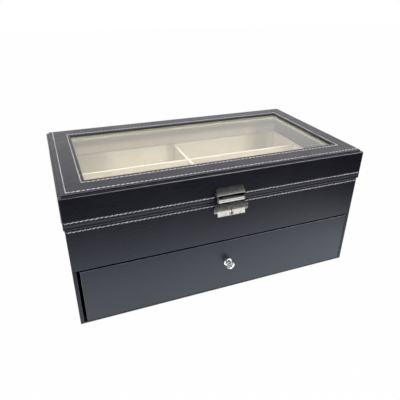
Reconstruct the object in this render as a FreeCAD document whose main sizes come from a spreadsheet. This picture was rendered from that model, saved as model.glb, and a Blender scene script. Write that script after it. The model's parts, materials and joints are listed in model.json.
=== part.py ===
# Glasses display box: a leather-covered case with a windowed lid over a divided tray,
# a divided drawer below it, a folding clasp with a key, and a crystal pull.
# Millimetres, +Z up. The origin is the centre of the case's footprint, on the surface it rests on.
# The front of the case faces -Y.
import FreeCAD, Part
import os
import Sketcher

doc = FreeCAD.newDocument("glasses_display_box")
sheet = doc.addObject("Spreadsheet::Sheet", "sizes")


# Driving dimensions

DRIVING_SIZES = [
    # the case
    ("case_width", 334.0, "outside width of the case"),
    ("case_depth", 187.5, "outside depth of the case"),
    ("case_height", 116.5, "top edge of the case above the table"),
    ("side_thickness", 4.0, "side panels"),
    ("back_thickness", 4.0, "back panel"),
    ("front_thickness", 4.5, "front panel above the drawer"),
    ("bottom_thickness", 3.3, "bottom panel"),
    ("sill_height", 1.5, "strip under the drawer front, at the front edge of the bottom"),
    ("shelf_thickness", 4.0, "shelf between the drawer and the tray"),
    ("shelf_rise", 2.0, "underside of the shelf above the front panel's lower edge"),
    ("drawer_opening_top", 68.3, "lower edge of the front panel above the table"),
    ("felt_thickness", 0.5, "felt under the case"),
    ("felt_inset", 2.0, "felt in from the edges of the bottom"),
    ("edge_round", 0.9, "rounding of the leather-covered edges"),
    # the tray in the case
    ("rim_lining", 1.0, "upper, thin part of the tray lining"),
    ("tray_lining", 2.0, "lower, thick part of the tray lining"),
    ("tray_drop", 2.7, "dividers and thick lining below the case's top edge"),
    ("tray_floor_lining", 2.0, "lining of the tray's floor"),
    ("divider_thickness", 3.0, "tray dividers"),
    ("end_cell_depth", 53.5, "depth of the front and the rear row of the tray"),
    ("lap_clearance", 0.1, "play where two dividers cross, and at their ends"),
    # the lid
    ("seam_gap", 0.5, "gap between case and lid"),
    ("lid_overhang", 1.2, "lid beyond the case on every side"),
    ("lid_wall_height", 33.0, "lid walls"),
    ("lid_wall_thickness", 4.0, "lid walls"),
    ("window_panel_thickness", 2.3, "raised panel round the window"),
    ("window_panel_inset", 3.0, "raised panel in from the lid's outside"),
    ("window_width", 287.4, "window opening along X"),
    ("window_depth", 134.8, "window opening along Y"),
    ("window_shift_right", 2.4, "window's centre from the lid's centre along X"),
    ("window_shift_back", 1.3, "window's centre from the lid's centre along Y"),
    ("glass_thickness", 2.0, "window glass"),
    ("glass_clearance", 0.5, "glass to the lid walls"),
    ("bead_thickness", 4.6, "glazing beads under the glass"),
    ("lid_lining", 1.5, "lining of the lid walls"),
    # the hinges
    ("hinge_spacing", 190.0, "between the two hinges' centres"),
    ("hinge_width", 30.0, "one hinge"),
    ("hinge_leaf_thickness", 1.2, "hinge leaves"),
    ("hinge_leaf_height", 11.0, "hinge leaves"),
    ("hinge_barrel_radius", 2.1, "hinge knuckles"),
    ("hinge_pin_radius", 1.0, "hinge pins"),
    ("hinge_play", 0.2, "between moving hinge parts"),
    ("pin_clearance", 0.05, "radial play of every pin and plug"),
    ("hinge_screw_spacing", 18.0, "between a leaf's two screws"),
    ("screw_head_radius", 1.9, "screw heads"),
    ("screw_head_height", 0.7, "screw heads"),
    ("screw_radius", 0.9, "screw shanks"),
    ("screw_bite", 3.0, "screw or rivet shank in the panel behind"),
    # the clasp
    ("clasp_offset", -1.5, "clasp's centre from the case's centre"),
    ("clasp_width", 31.4, "bracket and flap"),
    ("clasp_sheet", 1.0, "clasp sheet metal"),
    ("bracket_foot", 1.2, "bracket's leaf above the lid's lower edge"),
    ("bracket_height", 17.2, "bracket's leaf"),
    ("roof_reach", 5.8, "bracket's nose out from the lid"),
    ("roof_fall", 5.8, "nose below the bracket's top"),
    ("nose_lip", 1.2, "turned-down lip of the nose"),
    ("roof_thickness", 1.4, "bracket's roof, measured upright"),
    ("clasp_pin_reach", 5.4, "clasp pin out from the lid"),
    ("clasp_pin_height", 5.6, "clasp pin above the lid's lower edge"),
    ("clasp_pin_radius", 0.8, "clasp pin"),
    ("clasp_pin_head", 0.4, "pin's ends beyond the cheeks"),
    ("cheek_boss_radius", 1.9, "bracket's cheeks round the pin"),
    ("cheek_play", 0.15, "flap's barrel to each cheek"),
    ("flap_barrel_radius", 2.3, "rolled barrel of the flap"),
    ("flap_set_in", 0.6, "flap's plate in from the barrel's front"),
    ("flap_length", 17.1, "flap's lower edge below the pin"),
    ("flap_flat_length", 8.6, "flat upper part of the flap's plate"),
    ("flap_swell", 1.7, "flap's lower edge out from its upper part"),
    ("flap_edge", 0.6, "flap's square lower edge"),
    ("flap_skirt_depth", 4.8, "flap's side skirts"),
    ("skirt_play", 0.7, "flap's skirts to the bracket's cheeks"),
    ("tab_width", 3.9, "flap's finger tabs beyond its sides"),
    ("tab_height", 8.0, "finger tabs"),
    ("tab_drop", 5.4, "finger tabs below the pin"),
    ("tab_round", 1.8, "finger tabs' corners"),
    ("plug_radius", 2.4, "key plug"),
    ("plug_drop", 14.7, "key plug below the clasp pin"),
    ("plug_stand", 0.25, "key plug's face before the flap"),
    ("plug_depth", 3.8, "key plug behind its face"),
    ("keyhole_radius", 0.6, "round part of the keyhole"),
    ("keyhole_slot", 1.4, "slot below the round part"),
    ("keyhole_slot_width", 0.6, "slot below the round part"),
    ("keyhole_depth", 2.0, "keyhole"),
    ("cam_length", 5.2, "plug's cam from its axis"),
    ("cam_width", 1.6, "plug's cam"),
    ("cam_thickness", 0.8, "plug's cam"),
    ("dimple_radius", 0.6, "index dimple above the keyhole"),
    ("dimple_depth", 0.5, "index dimple"),
    ("dimple_rise", 3.7, "index dimple above the keyhole"),
    ("keeper_width", 18.0, "keeper plate"),
    ("keeper_top", 1.5, "keeper plate below the case's top edge"),
    ("keeper_height", 9.3, "keeper plate"),
    ("keeper_sheet", 0.8, "keeper plate"),
    ("lug_span", 13.0, "between the keeper lugs' inner faces"),
    ("lug_sheet", 1.0, "keeper lugs"),
    ("lug_height", 5.0, "keeper lugs"),
    ("lug_lip", 2.2, "lips turned in from the lugs"),
    ("lug_lip_sheet", 0.5, "lips"),
    ("latch_play", 0.2, "lips to the cam behind them"),
    ("rivet_radius", 0.7, "clasp rivets"),
    ("rivet_head_radius", 1.4, "clasp rivets"),
    ("rivet_head_height", 0.6, "clasp rivets"),
    ("bracket_rivet_rise", 5.0, "bracket rivets above the clasp pin"),
    ("bracket_rivet_spacing", 20.0, "between the bracket rivets"),
    ("keeper_rivet_drop", 2.2, "keeper rivets below the plate's top"),
    ("keeper_rivet_spacing", 11.0, "between the keeper rivets"),
    # the drawer
    ("drawer_front_thickness", 4.5, "drawer front"),
    ("drawer_front_lift", 2.3, "drawer front above the table"),
    ("drawer_top_gap", 1.8, "drawer front to the front panel"),
    ("drawer_left_gap", 3.0, "drawer front to the left side panel"),
    ("drawer_right_gap", 0.5, "drawer front to the right side panel"),
    ("drawer_seat_gap", 0.3, "drawer to the panels that it slides along"),
    ("drawer_side_inset", 1.0, "drawer sides in from the drawer front's ends"),
    ("drawer_side_height", 57.0, "drawer sides above the drawer's bottom"),
    ("drawer_board", 4.0, "drawer sides and back"),
    ("drawer_bottom", 3.0, "drawer's bottom"),
    ("drawer_rear_gap", 5.0, "drawer's back to the case's back panel"),
    ("drawer_lining", 1.5, "lining of the drawer's walls"),
    ("drawer_lining_drop", 1.0, "drawer lining below the drawer sides' top"),
    ("drawer_floor_lining", 2.0, "lining of the drawer's floor"),
    ("drawer_divider_drop", 3.0, "drawer dividers below the drawer sides' top"),
    # the pull
    ("pull_height", 38.0, "pull's axis above the table"),
    ("collar_radius", 4.6, "pull's collar"),
    ("collar_thickness", 1.4, "pull's collar"),
    ("neck_radius", 2.0, "pull's neck"),
    ("neck_length", 2.4, "pull's neck"),
    ("cup_radius", 3.9, "metal cup that holds the crystal"),
    ("cup_length", 1.4, "metal cup"),
    ("crystal_radius", 5.0, "crystal at its girdle"),
    ("crystal_back_radius", 3.4, "crystal at the cup"),
    ("crystal_table_radius", 3.0, "crystal's flat front"),
    ("crystal_back_length", 2.2, "crystal behind its girdle"),
    ("crystal_girdle_length", 0.6, "crystal's girdle"),
    ("crystal_front_length", 2.4, "crystal in front of its girdle"),
    ("pull_screw_radius", 1.5, "pull's screw"),
    ("pull_screw_head_radius", 3.4, "pull's screw"),
    ("pull_screw_head_height", 1.2, "pull's screw"),
    ("pull_screw_in_neck", 1.8, "pull's screw in the neck"),
]
CRYSTAL_SIDES = 10
CLOSE = 1e-4


class Size:
    """A length as an expression over the sheet, so that whatever uses it follows the sheet."""

    def __init__(self, text):
        self.text = text

    def __add__(self, other):
        return Size(f"({self.text} + {written(other)})")

    def __radd__(self, other):
        return Size(f"({written(other)} + {self.text})")

    def __sub__(self, other):
        return Size(f"({self.text} - {written(other)})")

    def __rsub__(self, other):
        return Size(f"({written(other)} - {self.text})")

    def __mul__(self, other):
        return Size(f"({self.text} * {written(other)})")

    def __truediv__(self, other):
        return Size(f"({self.text} / {written(other)})")

    def __neg__(self):
        return Size(f"(0 - {self.text})")

    def __float__(self):
        return float(sheet.evalExpression(self.text))


def written(length):
    return length.text if isinstance(length, Size) else repr(float(length))


def fill_sheet():
    for row, (alias, number, meaning) in enumerate(DRIVING_SIZES, start=1):
        sheet.set(f"A{row}", meaning)
        sheet.set(f"B{row}", str(number))
        sheet.setAlias(f"B{row}", alias)
    doc.recompute()


def size(alias):
    return Size(f"sizes.{alias}")


fill_sheet()


# Building helpers

def bind(item, prop, length):
    item.setExpression(prop, written(length))


def place(item, x, y, z):
    bind(item, "Placement.Base.x", x)
    bind(item, "Placement.Base.y", y)
    bind(item, "Placement.Base.z", z)


def sketch_in(body, role, offset=0.0):
    """A sketch on one of the body's own origin planes, moved along that plane's normal."""
    sketch = body.newObject("Sketcher::SketchObject", f"{body.Name}_sketch")
    plane = next(item for item in body.Origin.OriginFeatures if item.Role == role)
    sketch.AttachmentSupport = [(plane, "")]
    sketch.MapMode = "FlatFace"
    bind(sketch, "AttachmentOffset.Base.z", offset)
    return sketch


def hold(sketch, kind, first, second, length):
    """A named distance between two points, driven by an expression that may be negative."""
    number = float(length)
    if abs(number) < CLOSE:
        axis = "Vertical" if kind == "DistanceX" else "Horizontal"
        sketch.addConstraint(Sketcher.Constraint(axis, *first, *second))
        return
    if number < 0:
        first, second = second, first
        length = -length
    index = sketch.addConstraint(Sketcher.Constraint(kind, *first, *second, abs(number)))
    sketch.setExpression(f"Constraints[{index}]", written(length))


def pin_point(sketch, geometry, position, x, y):
    hold(sketch, "DistanceX", (-1, 1), (geometry, position), x)
    hold(sketch, "DistanceY", (-1, 1), (geometry, position), y)


def outline(sketch, points):
    """A closed polygon through the points, each held at its place from the sketch's origin."""
    first = sketch.GeometryCount
    corners = [FreeCAD.Vector(float(x), float(y), 0) for x, y in points]
    count = len(points)
    for n in range(count):
        sketch.addGeometry(Part.LineSegment(corners[n], corners[(n + 1) % count]), False)
    for n in range(count):
        following = first + (n + 1) % count
        sketch.addConstraint(Sketcher.Constraint("Coincident", first + n, 2, following, 1))
        pin_point(sketch, first + n, 1, *points[n])


def circle(sketch, x, y, radius):
    centre = FreeCAD.Vector(float(x), float(y), 0)
    number = sketch.addGeometry(Part.Circle(centre, FreeCAD.Vector(0, 0, 1), float(radius)), False)
    pin_point(sketch, number, 3, x, y)
    index = sketch.addConstraint(Sketcher.Constraint("Radius", number, float(radius)))
    bind(sketch, f"Constraints[{index}]", radius)


def rectangle(x_span, y_span):
    left, right = x_span
    low, high = y_span
    return [(left, low), (right, low), (right, high), (left, high)]


def new_body(label):
    body = doc.addObject("PartDesign::Body", label)
    body.Label = label
    return body


def pad(body, sketch, length, flipped=False):
    feature = body.newObject("PartDesign::Pad", f"{body.Name}_pad")
    feature.Profile = sketch
    bind(feature, "Length", length)
    feature.Reversed = flipped
    sketch.Visibility = False
    doc.recompute()
    return feature


def pocket(body, sketch, length, flipped=False):
    """A pocket of the given length. It must take something away."""
    before = body.Shape.Volume
    feature = body.newObject("PartDesign::Pocket", f"{body.Name}_pocket")
    feature.Profile = sketch
    bind(feature, "Length", length)
    feature.Reversed = flipped
    sketch.Visibility = False
    doc.recompute()
    if body.Shape.Volume > before - CLOSE:
        raise RuntimeError(f"{body.Label}: a pocket cuts nothing")
    return feature


def drill(body, role, centres, radius, depth, offset=0.0, flipped=False):
    sketch = sketch_in(body, role, offset)
    for x, y in centres:
        circle(sketch, x, y, radius)
    return pocket(body, sketch, depth, flipped)


SIDES = {
    "left": ("x", "XMin"), "right": ("x", "XMax"),
    "front": ("y", "YMin"), "back": ("y", "YMax"),
    "bottom": ("z", "ZMin"), "top": ("z", "ZMax"),
}


def edges_on(shape, *sides):
    """Names of the edges that lie wholly on every one of the shape's named outer sides."""
    found = []
    for number, edge in enumerate(shape.Edges, start=1):
        points = [vertex.Point for vertex in edge.Vertexes] + [edge.CenterOfMass]
        on_all = all(
            abs(getattr(point, axis) - getattr(shape.BoundBox, limit)) < CLOSE
            for axis, limit in (SIDES[side] for side in sides)
            for point in points
        )
        if on_all:
            found.append(f"Edge{number}")
    return found


def round_edges(body, base, names, radius):
    fillet = body.newObject("PartDesign::Fillet", f"{body.Name}_round")
    fillet.Base = (base, names)
    bind(fillet, "Radius", radius)
    doc.recompute()
    return fillet


def span_length(span):
    return span[1] - span[0]


def board(label, x_span, y_span, z_span, rounded=""):
    """A covered board. Each word in rounded names two sides whose shared edge is rounded."""
    body = new_body(label)
    place(body, x_span[0], y_span[0], z_span[0])
    sketch = sketch_in(body, "XY_Plane")
    outline(sketch, rectangle((0.0, span_length(x_span)), (0.0, span_length(y_span))))
    base = pad(body, sketch, span_length(z_span))
    names = []
    for pair in rounded.split():
        names += edges_on(base.Shape, *pair.split("-"))
    if names:
        round_edges(body, base, names, size("edge_round"))
    return body


def sheet_piece(label, x_span, y_span, z_span):
    """A plain rectangular sheet, such as a lining or a pane."""
    box = doc.addObject("Part::Box", label)
    box.Label = label
    bind(box, "Length", span_length(x_span))
    bind(box, "Width", span_length(y_span))
    bind(box, "Height", span_length(z_span))
    place(box, x_span[0], y_span[0], z_span[0])
    return box


# Places that several pieces share

case_half = size("case_width") / 2
case_front = -size("case_depth") / 2
case_back = size("case_depth") / 2
case_top = size("case_height")
felt_top = size("felt_thickness")
bottom_top = felt_top + size("bottom_thickness")
sill_top = felt_top + size("sill_height")
bay_half = case_half - size("side_thickness")
inner_back = case_back - size("back_thickness")
inner_front = case_front + size("front_thickness")
opening_top = size("drawer_opening_top")
shelf_bottom = opening_top + size("shelf_rise")
shelf_top = shelf_bottom + size("shelf_thickness")
bottom_front = case_front + size("drawer_front_thickness") + size("drawer_seat_gap")

tray_top = case_top - size("tray_drop")
tray_floor = shelf_top + size("tray_floor_lining")
tray_half = bay_half - size("tray_lining")
tray_front = inner_front + size("tray_lining")
tray_back = inner_back - size("tray_lining")

lid_bottom = case_top + size("seam_gap")
lid_ledge = lid_bottom + size("lid_wall_height")
lid_half = case_half + size("lid_overhang")
lid_front = case_front - size("lid_overhang")
lid_back = case_back + size("lid_overhang")
lid_inner_half = lid_half - size("lid_wall_thickness")
lid_inner_front = lid_front + size("lid_wall_thickness")
lid_inner_back = lid_back - size("lid_wall_thickness")
glass_bottom = lid_ledge - size("glass_thickness")
bead_bottom = glass_bottom - size("bead_thickness")
window_left = size("window_shift_right") - size("window_width") / 2
window_right = size("window_shift_right") + size("window_width") / 2
window_front = size("window_shift_back") - size("window_depth") / 2
window_back = size("window_shift_back") + size("window_depth") / 2

hinge_axis_y = lid_back + size("hinge_barrel_radius") + size("hinge_play")
hinge_axis_z = case_top + size("seam_gap") / 2

clasp_pin_z = lid_bottom + size("clasp_pin_height")
clasp_pin_y = lid_front - size("clasp_pin_reach")

drawer_left = size("drawer_left_gap") - bay_half
drawer_right = bay_half - size("drawer_right_gap")
drawer_centre = (drawer_left + drawer_right) / 2
drawer_box_left = drawer_left + size("drawer_side_inset")
drawer_box_right = drawer_right - size("drawer_side_inset")
drawer_box_front = case_front + size("drawer_front_thickness")
drawer_box_back = inner_back - size("drawer_rear_gap")
drawer_underside = bottom_top + size("drawer_seat_gap")
drawer_deck = drawer_underside + size("drawer_bottom")
drawer_side_top = drawer_deck + size("drawer_side_height")


# The case

def side_panel(label, x_low, outer_side):
    """A side panel. It is cut back above the drawer, where the front panel covers its edge."""
    depth = size("case_depth")
    height = case_top - felt_top
    cover = size("front_thickness")
    step = opening_top - felt_top
    body = new_body(label)
    place(body, x_low, case_front, felt_top)
    sketch = sketch_in(body, "YZ_Plane")
    outline(sketch, [(0.0, 0.0), (depth, 0.0), (depth, height), (cover, height), (cover, step),
                     (0.0, step)])
    base = pad(body, sketch, size("side_thickness"))
    names = edges_on(base.Shape, "left", "front") + edges_on(base.Shape, "right", "front")
    for side in ("back", "top", "bottom"):
        names += edges_on(base.Shape, outer_side, side)
    round_edges(body, base, names, size("edge_round"))


def hinge_screw_places(height):
    """Places of the screws along X at one height, two for each hinge."""
    half = size("hinge_screw_spacing") / 2
    hinge_x = size("hinge_spacing") / 2
    return [(centre + step, height) for centre in (-hinge_x, hinge_x) for step in (-half, half)]


case_leaf_screw_z = hinge_axis_z - size("hinge_barrel_radius") - size("hinge_leaf_height") / 2
lid_leaf_screw_z = (hinge_axis_z + size("hinge_barrel_radius") + size("hinge_play")
                    + size("hinge_leaf_height") / 2)


def case_back_panel():
    body = board("back_panel", (-bay_half, bay_half), (inner_back, case_back), (felt_top, case_top),
                 "back-top back-bottom")
    places = [(x + bay_half, z - felt_top) for x, z in hinge_screw_places(case_leaf_screw_z)]
    drill(body, "XZ_Plane", places, size("screw_radius"), size("screw_bite"),
          -size("back_thickness"), True)


def clasp_rivet_places(spacing, height):
    centre = size("clasp_offset")
    return [(centre - spacing / 2, height), (centre + spacing / 2, height)]


keeper_rivet_z = case_top - size("keeper_top") - size("keeper_rivet_drop")
bracket_rivet_z = clasp_pin_z + size("bracket_rivet_rise")


def upper_front_panel():
    body = board("upper_front_panel", (-case_half, case_half), (case_front, inner_front),
                 (opening_top, case_top),
                 "front-top front-bottom front-left front-right left-top right-top")
    places = [(x + case_half, z - opening_top)
              for x, z in clasp_rivet_places(size("keeper_rivet_spacing"), keeper_rivet_z)]
    drill(body, "XZ_Plane", places, size("rivet_radius"), size("screw_bite"))


def tray_liner(label, role, run_start, run_length, wall, flipped):
    """A lining strip along one wall: thick below the tray's top, thin above it."""
    body = new_body(label)
    low = shelf_top
    thick_height = tray_top - low
    full_height = case_top - low
    thick = size("tray_lining")
    thin = size("rim_lining")
    sign = -1 if flipped else 1
    points = [(0.0, 0.0), (thick * sign, 0.0), (thick * sign, thick_height), (thin * sign, thick_height),
              (thin * sign, full_height), (0.0, full_height)]
    sketch = sketch_in(body, role)
    outline(sketch, points)
    pad(body, sketch, run_length, role == "XZ_Plane")
    if role == "YZ_Plane":
        place(body, run_start, wall, low)
    else:
        place(body, wall, run_start, low)


def tray_linings():
    full_run = bay_half * 2
    short_run = tray_back - tray_front
    tray_liner("tray_lining_front", "YZ_Plane", -bay_half, full_run, inner_front, False)
    tray_liner("tray_lining_back", "YZ_Plane", -bay_half, full_run, inner_back, True)
    tray_liner("tray_lining_left", "XZ_Plane", tray_front, short_run, -bay_half, False)
    tray_liner("tray_lining_right", "XZ_Plane", tray_front, short_run, bay_half, True)
    sheet_piece("tray_floor_lining", (-tray_half, tray_half), (tray_front, tray_back),
                (shelf_top, tray_floor))


def notched_strip(label, role, run, height, notches, from_top, thickness):
    """A divider strip with half-lap notches, drawn flat in its own plane from its low corner."""
    half = height / 2
    notch_half = (size("divider_thickness") + size("lap_clearance") * 2) / 2
    edge = height if from_top else 0.0
    inner = half - size("lap_clearance") if from_top else half + size("lap_clearance")
    notch_points = []
    for centre in notches:
        low = centre - notch_half
        high = centre + notch_half
        notch_points += [(low, edge), (low, inner), (high, inner), (high, edge)]
    if from_top:
        points = [(0.0, height), *notch_points, (run, height), (run, 0.0), (0.0, 0.0)]
    else:
        points = [(0.0, 0.0), *notch_points, (run, 0.0), (run, height), (0.0, height)]
    body = new_body(label)
    sketch = sketch_in(body, role)
    outline(sketch, points)
    pad(body, sketch, thickness, role == "XZ_Plane")
    return body


def divider_set(prefix, left, right, front, back, low, high, end_depth):
    """One strip from front to back and two from side to side, which lap where they cross."""
    gap = size("lap_clearance")
    thick = size("divider_thickness")
    centre = (left + right) / 2
    rows = {"front": front + end_depth + thick / 2, "rear": back - end_depth - thick / 2}
    height = high - low
    column = notched_strip(f"{prefix}_column_divider", "YZ_Plane", back - front - gap * 2, height,
                           [row - front - gap for row in rows.values()], True, thick)
    place(column, centre - thick / 2, front + gap, low)
    for name, row in rows.items():
        strip = notched_strip(f"{prefix}_{name}_row_divider", "XZ_Plane", right - left - gap * 2, height,
                              [centre - left - gap], False, thick)
        place(strip, left + gap, row - thick / 2, low)


def build_case():
    side_panel("left_side_panel", -case_half, "left")
    side_panel("right_side_panel", bay_half, "right")
    case_back_panel()
    upper_front_panel()
    board("bottom_panel", (-bay_half, bay_half), (bottom_front, inner_back), (felt_top, bottom_top))
    board("front_sill", (-bay_half, bay_half), (case_front, bottom_front), (felt_top, sill_top))
    board("shelf_panel", (-bay_half, bay_half), (inner_front, inner_back), (shelf_bottom, shelf_top))
    inset = size("felt_inset")
    sheet_piece("bottom_felt", (inset - case_half, case_half - inset),
                (bottom_front + inset, case_back - inset), (0.0, felt_top))
    tray_linings()
    divider_set("tray", -tray_half, tray_half, tray_front, tray_back, tray_floor, tray_top,
                size("end_cell_depth"))


# The lid

LID_END_EDGES = "left-top right-top left-bottom right-bottom"
lid_height = (lid_bottom, lid_ledge)


def lid_front_wall():
    body = board("lid_front_wall", (-lid_half, lid_half), (lid_front, lid_inner_front), lid_height,
                 f"front-top front-bottom front-left front-right {LID_END_EDGES}")
    places = [(x + lid_half, z - lid_bottom)
              for x, z in clasp_rivet_places(size("bracket_rivet_spacing"), bracket_rivet_z)]
    drill(body, "XZ_Plane", places, size("rivet_radius"), size("screw_bite"))


def lid_back_wall():
    body = board("lid_back_wall", (-lid_half, lid_half), (lid_inner_back, lid_back), lid_height,
                 f"back-top back-bottom back-left back-right {LID_END_EDGES}")
    places = [(x + lid_half, z - lid_bottom) for x, z in hinge_screw_places(lid_leaf_screw_z)]
    drill(body, "XZ_Plane", places, size("screw_radius"), size("screw_bite"),
          -size("lid_wall_thickness"), True)


def window_panel():
    """The raised, covered panel on top of the lid walls, open at the window."""
    inset = size("window_panel_inset")
    width = (lid_half - inset) * 2
    depth = (lid_back - inset) * 2
    to_left = lid_half - inset
    to_front = lid_back - inset
    body = new_body("window_panel")
    place(body, inset - lid_half, lid_front + inset, lid_ledge)
    sketch = sketch_in(body, "XY_Plane")
    outline(sketch, rectangle((0.0, width), (0.0, depth)))
    outline(sketch, rectangle((window_left + to_left, window_right + to_left),
                              (window_front + to_front, window_back + to_front)))
    base = pad(body, sketch, size("window_panel_thickness"))
    rims = [f"Edge{number}" for number, edge in enumerate(base.Shape.Edges, start=1)
            if abs(edge.BoundBox.ZMin - base.Shape.BoundBox.ZMax) < CLOSE]
    round_edges(body, base, rims, size("edge_round"))


def glazing():
    clear = size("glass_clearance")
    sheet_piece("window_glass", (clear - lid_inner_half, lid_inner_half - clear),
                (lid_inner_front + clear, lid_inner_back - clear), (glass_bottom, lid_ledge))
    bead_span = (bead_bottom, glass_bottom)
    full = (-lid_inner_half, lid_inner_half)
    between = (window_front, window_back)
    sheet_piece("glazing_bead_front", full, (lid_inner_front, window_front), bead_span)
    sheet_piece("glazing_bead_back", full, (window_back, lid_inner_back), bead_span)
    sheet_piece("glazing_bead_left", (-lid_inner_half, window_left), between, bead_span)
    sheet_piece("glazing_bead_right", (window_right, lid_inner_half), between, bead_span)


def lid_linings():
    thick = size("lid_lining")
    span = (lid_bottom, bead_bottom)
    full = (-lid_inner_half, lid_inner_half)
    between = (lid_inner_front + thick, lid_inner_back - thick)
    sheet_piece("lid_lining_front", full, (lid_inner_front, lid_inner_front + thick), span)
    sheet_piece("lid_lining_back", full, (lid_inner_back - thick, lid_inner_back), span)
    sheet_piece("lid_lining_left", (-lid_inner_half, thick - lid_inner_half), between, span)
    sheet_piece("lid_lining_right", (lid_inner_half - thick, lid_inner_half), between, span)


def build_lid():
    lid_front_wall()
    lid_back_wall()
    between = (lid_inner_front, lid_inner_back)
    board("lid_left_wall", (-lid_half, -lid_inner_half), between, lid_height, "left-top left-bottom")
    board("lid_right_wall", (lid_inner_half, lid_half), between, lid_height, "right-top right-bottom")
    window_panel()
    glazing()
    lid_linings()


# The hinges

def knuckle(body, start, length, web):
    """A length of hinge barrel with the web that joins it to its leaf, in the hinge's own frame."""
    sketch = sketch_in(body, "YZ_Plane", start)
    circle(sketch, 0.0, 0.0, size("hinge_barrel_radius"))
    pad(body, sketch, length)
    sketch = sketch_in(body, "YZ_Plane", start)
    outline(sketch, web)
    pad(body, sketch, length)


def hinge_leaf(label, centre_x, leaf_y, leaf_z, web, knuckles, screw_z):
    """A leaf with its knuckles. The body's origin is on the hinge axis, at the hinge's left end."""
    width = size("hinge_width")
    body = new_body(label)
    place(body, centre_x - width / 2, hinge_axis_y, hinge_axis_z)
    sketch = sketch_in(body, "YZ_Plane")
    outline(sketch, rectangle(leaf_y, leaf_z))
    pad(body, sketch, width)
    for start, length in knuckles:
        knuckle(body, start, length, web)
    bore = sketch_in(body, "YZ_Plane")
    circle(bore, 0.0, 0.0, size("hinge_pin_radius") + size("pin_clearance"))
    pocket(body, bore, width, True)
    half = size("hinge_screw_spacing") / 2
    centres = [(width / 2 - half, screw_z - hinge_axis_z), (width / 2 + half, screw_z - hinge_axis_z)]
    drill(body, "XZ_Plane", centres, size("screw_radius"), size("hinge_leaf_thickness"), -leaf_y[0])


def build_hinge(side, centre_x):
    radius = size("hinge_barrel_radius")
    sheet_size = size("hinge_leaf_thickness")
    play = size("hinge_play")
    third = size("hinge_width") / 3
    height = size("hinge_leaf_height")
    case_y = case_back - hinge_axis_y
    lid_y = lid_back - hinge_axis_y
    case_web = rectangle((case_y, 0.0), (-radius, sheet_size - radius))
    lid_web = rectangle((lid_y, 0.0), (radius - sheet_size, radius + play))
    hinge_leaf(f"hinge_{side}_case_leaf", centre_x, (case_y, case_y + sheet_size),
               (-radius - height, sheet_size - radius), case_web,
               [(0.0, third - play), (third * 2 + play, third - play)], case_leaf_screw_z)
    hinge_leaf(f"hinge_{side}_lid_leaf", centre_x, (lid_y, lid_y + sheet_size),
               (radius + play, radius + play + height), lid_web, [(third, third)], lid_leaf_screw_z)


def fused_cylinders(label, parts):
    """Cylinders that run along -Y, each as (x, y of its rear end, z, radius, length)."""
    shapes = []
    for number, (x, y, z, radius, length) in enumerate(parts, start=1):
        cylinder = doc.addObject("Part::Cylinder", f"{label}_{number}")
        bind(cylinder, "Radius", radius)
        bind(cylinder, "Height", length)
        cylinder.Placement.Rotation = FreeCAD.Rotation(FreeCAD.Vector(1, 0, 0), 90)
        place(cylinder, x, y, z)
        shapes.append(cylinder)
    fused = doc.addObject("Part::MultiFuse", label)
    fused.Label = label
    fused.Shapes = shapes
    fused.Refine = True
    return fused


def hinge_screws(label, height, surface, bite_depth):
    """Screws from behind: the head on the leaf's outer face, the shank through it into the panel."""
    head = size("screw_head_height")
    leaf = size("hinge_leaf_thickness")
    parts = []
    for x, z in hinge_screw_places(height):
        parts.append((x, surface + leaf + head, z, size("screw_head_radius"), head))
        parts.append((x, surface + leaf, z, size("screw_radius"), leaf + bite_depth))
    fused_cylinders(label, parts)


def hinge_pins():
    """Both hinge pins, the length of the hinges."""
    pins = []
    hinge_x = size("hinge_spacing") / 2
    for number, centre in enumerate((-hinge_x, hinge_x), start=1):
        pin = doc.addObject("Part::Cylinder", f"hinge_pin_{number}")
        bind(pin, "Radius", size("hinge_pin_radius"))
        bind(pin, "Height", size("hinge_width"))
        pin.Placement.Rotation = FreeCAD.Rotation(FreeCAD.Vector(0, 1, 0), 90)
        place(pin, centre - size("hinge_width") / 2, hinge_axis_y, hinge_axis_z)
        pins.append(pin)
    group = doc.addObject("Part::Compound", "hinge_pins")
    group.Label = "hinge_pins"
    group.Links = pins


def build_hinges():
    build_hinge("left", -size("hinge_spacing") / 2)
    build_hinge("right", size("hinge_spacing") / 2)
    hinge_screws("hinge_case_screws", case_leaf_screw_z, case_back, size("screw_bite"))
    hinge_screws("hinge_lid_screws", lid_leaf_screw_z, lid_back, size("screw_bite"))
    hinge_pins()


# The clasp, drawn in a frame on the clasp pin: X along it, -Y out from the lid

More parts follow.
